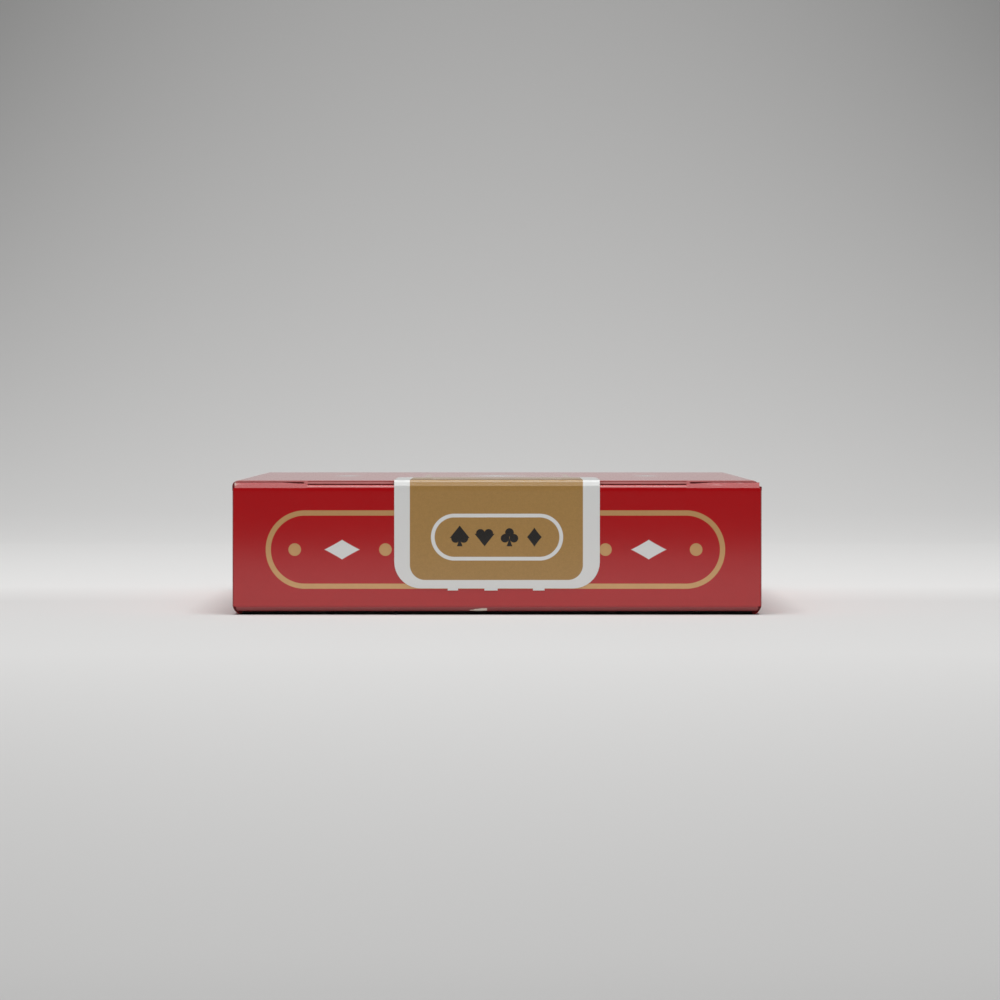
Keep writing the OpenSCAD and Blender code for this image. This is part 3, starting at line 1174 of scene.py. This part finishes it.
@dataclass
class Lid:
    """The lid: a bowed panel on a rolled crease, with bent shoulders beside the tuck fold."""

    m: Measures
    finishes: Finishes
    waist_z: float = 1.04
    waist_in: float = 0.4
    waist_round: float = 0.35
    bow_z: float = 6.2
    bow_reach: float = 9.5
    bow_row: float = 0.6
    shoulder_z: float = 15.71
    shoulder_r: float = 0.35
    shoulder_turn: float = 25.0
    shoulder_slant: float = 0.7
    shoulder_steps: int = 4
    slit_reaches: tuple[float, ...] = (3.0, 1.6)
    slit_drop: float = 9.0
    corner_in: float = 0.25
    crease_steps: int = 9
    seam_z: float = 15.3
    cells: tuple[int, int] = (64, 24)

    def build(self) -> bpy.types.Object:
        """Shape the panel, roll the crease under it and bend the shoulders back.

        Returns:
            The lid.
        """
        m = self.m
        face, waist_x = m.lid_face, m.lid_edge - self.waist_in
        height = self.shoulder_z - self.waist_z
        bench = Bench("lid_board", (0, face, self.waist_z + height / 2), (2 * m.lid_edge, height),
                      Facing.FRONT, self.cells)
        bench.cut((1, 0, 0), -m.lock_x, m.lock_x, -waist_x, waist_x)
        bench.cut((0, 0, 1), self.seam_z)
        bench.drop(lambda p: abs(p.x) < m.lock_x + NEAR and p.z > self.seam_z - NEAR)
        bench.pick(Part.EDGE, lambda p: near(p.z, self.waist_z) and abs(p.x) < waist_x + NEAR)
        bench.extrude(0, 0, m.crease_z - self.waist_z)
        bench.spin((0, face + m.crease_r, m.crease_z), (1, 0, 0), 90, self.crease_steps)
        for step in range(1, self.crease_steps + 1):
            turn = math.radians(90 * step / self.crease_steps)
            level = m.crease_z - m.crease_r * math.sin(turn)
            for side in (-1, 1):
                bench.pick(Part.CORNER, lambda p: near(p.x, side * waist_x) and near(p.z, level))
                bench.move(-side * self.waist_round * (1 - math.cos(turn)), 0, 0)
        self.bend_shoulders(bench)
        self.bow(bench)
        return bench.fold(m.sheet, self.finishes.board(self.finishes.lid))

    def bend_shoulders(self, bench: Bench) -> None:
        """Bend the shoulders back, lower beside the lock slits and drawn in at the outer corners."""
        m, turn = self.m, math.radians(self.shoulder_turn)
        back, up = self.shoulder_slant * math.sin(turn), self.shoulder_slant * math.cos(turn)
        bench.pick(Part.EDGE, lambda p: near(p.z, self.shoulder_z))
        bench.spin((0, m.lid_face + self.shoulder_r, self.shoulder_z), (1, 0, 0),
                   -self.shoulder_turn, self.shoulder_steps)
        bench.extrude(0, back, up)
        top = self.shoulder_z + self.shoulder_r * math.sin(turn) + up
        for reach in self.slit_reaches:
            bench.pick(Part.CORNER, lambda p: p.z > top - up / 2 and abs(p.x) < m.lock_x + reach)
            bench.move(0, -back / self.slit_drop, -up / self.slit_drop)
        for side in (-1, 1):
            bench.pick(Part.CORNER, lambda p: near(p.x, side * m.lid_edge) and p.z > self.shoulder_z + 0.1)
            bench.move(-side * self.corner_in, 0, 0)

    def bow(self, bench: Bench) -> None:
        """Bow the middle of the panel out."""
        step = (self.shoulder_z - self.waist_z) / self.cells[1]
        bench.pick(Part.CORNER, lambda p: abs(p.z - self.bow_z) < self.bow_row * step)
        bench.swell(self.bow_reach, 0, -self.m.lid_bow, 0)

    def dress(self) -> None:
        """Build the lid and hide its solid."""
        lid = self.build()
        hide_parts("lid")
        face = self.m.lid_face
        metres((0, face + self.m.crease_r, self.m.lift))
        metres((0, face, self.m.crease_z))
        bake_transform(lid)
        report(lid)


@dataclass
class TuckFlap:
    """The tuck flap: a fold along the lid's upper edge and a tongue with ears behind the lock slits."""

    m: Measures
    finishes: Finishes
    seam_z: float = 15.3
    fold_z: float = 15.71
    fold_r: float = 0.48
    fold_steps: int = 7
    ear_gap: float = 0.5
    corner_r: float = 7.0
    corner_steps: int = 9

    def build(self) -> bpy.types.Object:
        """Roll the fold, run the tongue in under the front panel and draw out its ears.

        Returns:
            The tuck flap.
        """
        m = self.m
        face, tilt = m.lid_face, math.radians(m.tuck_tilt)

        def along(run: float) -> Triple:
            """The offset of a run down the tilted tongue."""
            return 0, run * math.cos(tilt), -run * math.sin(tilt)

        bench = Bench("tuck_board", (0, face, (self.seam_z + self.fold_z) / 2),
                      (2 * m.lock_x, self.fold_z - self.seam_z), Facing.FRONT)
        bench.pick(Part.EDGE, lambda p: near(p.z, self.fold_z))
        bench.spin((0, face + self.fold_r, self.fold_z), (1, 0, 0), -90 - m.tuck_tilt, self.fold_steps)
        root_y = face + self.fold_r + self.fold_r * math.sin(tilt)
        length = (m.tuck_tip_y - root_y) / math.cos(tilt)
        bench.extrude(*along(self.ear_gap)).extrude(*along(length - self.ear_gap))
        ear_y = root_y + self.ear_gap * math.cos(tilt)
        for side in (-1, 1):
            bench.pick(Part.EDGE, lambda p: near(p.x, side * m.lock_x) and p.y > ear_y - NEAR)
            bench.extrude(side * (m.tuck_half_w - m.lock_x), 0, 0)
        bench.pick(Part.CORNER, lambda p: near(abs(p.x), m.tuck_half_w) and p.y > m.tuck_tip_y - 1)
        bench.bevel(self.corner_r, self.corner_steps, Part.CORNER)
        return bench.fold(m.sheet, self.finishes.board(self.finishes.tuck))

    def dress(self) -> None:
        """Build the tuck flap and hide its solid."""
        tuck = self.build()
        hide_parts("tuck_flap")
        face = self.m.lid_face
        metres((0, face, self.fold_z))
        metres((0, face + self.fold_r, self.fold_z + self.fold_r))
        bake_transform(tuck)
        report(tuck)


class Side(Enum):
    """Which side of the case a dust flap folds in from."""

    LEFT = -1
    RIGHT = 1


@dataclass
class DustFlap:
    """A dust flap: a tapered tongue with a round tip, folded in from a side panel."""

    m: Measures
    finishes: Finishes
    side: Side
    fold_r: float = 0.5
    low_slope: float = 0.3
    top_slope: float = 0.44
    tip_r: float = 2.0
    tip_steps: int = 7
    fold_steps: int = 6

    def build(self) -> bpy.types.Object:
        """Shape the tongue and roll its fold round to the side panel.

        Returns:
            The dust flap.
        """
        m, way = self.m, self.side.value
        face, root = m.dust_face, m.half_w - self.fold_r
        length = root - m.dust_tip_x
        low, top = CaseShell.low_r, m.dust_top + m.dust_rise

        def tip(p: Vector) -> bool:
            """True at the tongue's free end."""
            return near(abs(p.x), m.dust_tip_x)

        bench = Bench(f"dust_board_{self.side.name.lower()}",
                      (way * (root + m.dust_tip_x) / 2, face, (low + top) / 2),
                      (length, top - low), Facing.FRONT)
        bench.pick(Part.CORNER, lambda p: tip(p) and p.z < m.height / 2).move(0, 0, self.low_slope * length)
        bench.pick(Part.CORNER, lambda p: tip(p) and p.z > m.height / 2).move(0, 0, -self.top_slope * length)
        bench.pick(Part.CORNER, tip).bevel(self.tip_r, self.tip_steps, Part.CORNER)
        bench.pick(Part.EDGE, lambda p: near(p.x, way * root))
        bench.spin((way * root, face + self.fold_r, 0), (0, 0, 1), way * 90, self.fold_steps)
        return bench.fold(m.sheet, self.finishes.board(self.finishes.dust))

    def dress(self) -> None:
        """Build the flap and hide its solid."""
        flap, way = self.build(), self.side.value
        node = f"dust_flap_{self.side.name.lower()}"
        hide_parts(node)
        face, root = self.m.dust_face, self.m.half_w - self.fold_r
        metres((way * self.m.half_w, face + self.fold_r, 0))
        metres((way * root, face, 0))
        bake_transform(flap)
        report(flap)


@dataclass
class Seal:
    """The paper seal over the opening edge, in a half on the lid and a half on the front panel."""

    m: Measures
    finishes: Finishes
    corner_r: float = 3.3
    corner_steps: int = 9
    row_first: float = 0.1
    row_gap: float = 0.6
    rows: int = 21
    bow_row: float = 0.32
    nick_h: float = 0.26
    nicks: tuple[tuple[float, float], ...] = ((-5.5, 1.3), (-0.75, 1.65), (5.2, 1.45))
    bend_z: float = 16.0
    lid_bend: tuple[tuple[float, float], ...] = ((0.01, 0.08), (0.03, 0.075), (0.05, 0.075), (0.13, 0.215))
    face_bend: tuple[tuple[float, float], ...] = ((0.11, 0.18), (0.06, 0.08), (0.08, 0.065), (0.14, 0.038))
    sheet: float = 0.09

    def lid_half(self) -> bpy.types.Object:
        """Shape the half on the lid, with its die-cut nicks and the start of its bend.

        Returns:
            The lid's half.
        """
        m = self.m
        face = m.lid_face - m.seal_t
        bench = Bench("seal_on_lid", (0, face, (m.seal_low + self.bend_z) / 2),
                      (2 * m.seal_half_w, self.bend_z - m.seal_low), Facing.FRONT)
        bench.pick(Part.CORNER, lambda p: near(p.z, m.seal_low))
        bench.bevel(self.corner_r, self.corner_steps, Part.CORNER)
        for middle, width in self.nicks:
            left, right = middle - width / 2, middle + width / 2
            bench.cut((1, 0, 0), left, right)
            bench.pick(Part.EDGE, lambda p: near(p.z, m.seal_low) and left - NEAR < p.x < right + NEAR)
            bench.extrude(0, 0, -self.nick_h)
        first = m.seal_low + self.row_first
        bench.cut((0, 0, 1), *[first + self.row_gap * row for row in range(self.rows)])
        bench.pick(Part.EDGE, lambda p: near(p.z, self.bend_z))
        for back, up in self.lid_bend:
            bench.extrude(0, back, up)
        bench.pick(Part.CORNER, lambda p: abs(p.z - Lid.bow_z) < self.bow_row)
        bench.swell(Lid.bow_reach, 0, -m.lid_bow, 0)
        return bench.fold(self.sheet, self.finishes.paper)

    def face_half(self) -> bpy.types.Object:
        """Shape the half on the front panel, from the cut at the edge to its round far end.

        Returns:
            The front panel's half.
        """
        m = self.m
        top = m.height + m.seal_t
        run = sum(back for back, _ in self.face_bend)
        near_y = m.lid_face - m.seal_t + sum(back for back, _ in self.lid_bend) + run
        bench = Bench("seal_on_face", (0, (near_y + m.seal_far_y) / 2, top),
                      (2 * m.seal_half_w, m.seal_far_y - near_y), Facing.UP)
        bench.pick(Part.CORNER, lambda p: near(p.y, m.seal_far_y))
        bench.bevel(self.corner_r, self.corner_steps, Part.CORNER)
        bench.pick(Part.EDGE, lambda p: near(p.y, near_y))
        for back, up in reversed(self.face_bend):
            bench.extrude(0, -back, -up)
        return bench.fold(self.sheet, self.finishes.paper)

    def dress(self) -> None:
        """Build both halves and set each on its body."""
        for half, node, body in ((self.lid_half(), "seal_lid_half", "lid"),
                                 (self.face_half(), "seal_face_half", "case")):
            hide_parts(node)
            report(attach(half, body))


@dataclass
class Deck:
    """The cards in the case. Each keeps its solid and gets the stock of its suit's colour."""

    finishes: Finishes

    def dress(self) -> None:
        """Give each card its finish."""
        for name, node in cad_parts.items():
            if name != "jokers" and "_of_" not in name:
                continue
            dark = name.endswith(("spades", "clubs")) or name == "jokers"
            finish = self.finishes.stock[0 if dark else 1]
            node.data.materials.clear()
            node.data.materials.append(finish)
            report(node)


# Studio


@dataclass(frozen=True)
class SweepPaper:
    """Matt paper of the sweep, with painted light and shade: darker up the wall, at the sides and far in
    front, lighter behind the box.
    """

    rise_fall: float = 0.0455
    front_from: float = 150.0
    front_run: float = 315.0
    front_fall: float = 0.26
    back_run: float = 60.0
    back_gain: float = 0.17
    back_fall: float = 0.04
    back_rise: float = 5.0
    side_run: float = 130.0
    side_most: float = 1.3
    side_fall: float = 0.1
    side_front: float = 0.5
    side_rise: float = 0.0105
    side_root: float = 14.0
    away: tuple[float, float] = (445.0, 660.0)
    away_fall: float = 0.97
    darkest: float = 0.3
    brightness: float = 0.8
    white: Colour = (1.0, 0.996, 0.9875)

    def material(self) -> bpy.types.Material:
        """Paint light and shade on the paper by its place.

        Returns:
            The material.
        """
        s = NodeSheet("studio_paper")
        rise = s.z.most(0.0)
        root = rise.root()
        front = ((-s.y - self.front_from) / self.front_run).clamp()
        back = (s.y / self.back_run).clamp()
        back = back * (self.back_gain - (rise / self.back_rise).least(1.0) * self.back_fall)
        side = (s.x / self.side_run).clamp(-self.side_most, self.side_most)
        fall = root.least(self.side_root) * self.side_rise + front * self.side_front + self.side_fall
        # Painted light and shade, then a painted fade to dark far in front.
        shade = 1.0 - root * self.rise_fall - front * self.front_fall + back - side * side * fall
        shade = shade.most(self.darkest) * (1.0 - (-s.y).ramp(*self.away) * self.away_fall)
        colour = s.mix(shade * self.brightness, (0.0, 0.0, 0.0), self.white)
        return s.dress(Base_Color=colour, Roughness=0.9, Specular_IOR_Level=0.1)


@dataclass
class Studio:
    """The pale sweep, the soft lights and the camera."""

    m: Measures
    camera_back: float = 644.0
    camera_x: float = 0.37
    camera_z: float = 25.1
    camera_pitch: float = 0.96
    lens: float = 186.2
    wall_y: float = 700.0
    wall_r: float = 400.0
    wall_h: float = 2500.0
    wall_steps: int = 24
    half_w: float = 2500.0
    front_y: float = -3000.0
    gloom: float = 0.03

    def sweep(self) -> None:
        """Model the floor and the curved backdrop."""
        flat_end = self.wall_y - self.wall_r
        bench = Bench("sweep", (0, (self.front_y + flat_end) / 2, 0),
                      (2 * self.half_w, flat_end - self.front_y), Facing.UP)
        bench.pick(Part.EDGE, lambda p: near(p.y, flat_end))
        bench.spin((0, flat_end, self.wall_r), (1, 0, 0), 90, self.wall_steps)
        bench.extrude(0, 0, self.wall_h)
        bpy.ops.mesh.select_all(action="SELECT")
        bpy.ops.mesh.remove_doubles(threshold=MERGE)
        bpy.ops.object.mode_set(mode="OBJECT")
        bpy.ops.object.shade_smooth_by_angle(angle=math.radians(30))
        bench.obj.data.materials.append(SweepPaper().material())

    @staticmethod
    def lamp(name: str, place: Triple, size: tuple[float, float], power: float) -> None:
        """Hang a soft light that points at the middle of the floor.

        Args:
            name: The light's name.
            place: Where it hangs.
            size: Its width and height.
            power: Its power in watts.
        """
        light = bpy.data.lights.new(name, "AREA")
        light.shape = "RECTANGLE"
        light.size, light.size_y = size[0] * MM, size[1] * MM
        light.energy = power
        obj = bpy.data.objects.new(name, light)
        obj.location = metres(place)
        obj.rotation_euler = (-Vector(place)).to_track_quat("-Z", "Y").to_euler()
        bpy.context.scene.collection.objects.link(obj)

    def camera(self) -> None:
        """Set the camera level with the box, a little above its top."""
        data = bpy.data.cameras.new("camera")
        data.sensor_width, data.lens = 36.0, self.lens
        data.clip_start, data.clip_end = 0.01, 50.0
        obj = bpy.data.objects.new("camera", data)
        obj.location = metres((self.camera_x, self.m.lid_y - self.camera_back, self.camera_z))
        obj.rotation_euler = (math.radians(90 - self.camera_pitch), 0, 0)
        bpy.context.scene.collection.objects.link(obj)
        bpy.context.scene.camera = obj

    def build(self) -> None:
        """Set up the studio."""
        scene = bpy.context.scene
        scene.view_settings.view_transform = "Standard"
        scene.world = scene.world or bpy.data.worlds.new("world")
        scene.world.use_nodes = True
        scene.world.node_tree.nodes["Background"].inputs[0].default_value = (*[self.gloom] * 3, 1)
        self.camera()
        self.sweep()
        self.lamp("key", place=(0, -150, 1150), size=(900, 800), power=10.7)
        self.lamp("fill", place=(0, -1100, 1000), size=(1400, 700), power=5.8)


def main() -> None:
    """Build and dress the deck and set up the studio."""
    logging.basicConfig(level=logging.INFO, format="%(message)s")
    measures = Measures.from_frame()
    finishes = Finishes(measures)
    Studio(measures).build()
    CaseShell(measures, finishes).dress()
    Lid(measures, finishes).dress()
    TuckFlap(measures, finishes).dress()
    for side in Side:
        DustFlap(measures, finishes, side).dress()
    Seal(measures, finishes).dress()
    Deck(finishes).dress()


if __name__ == "__main__":
    main()
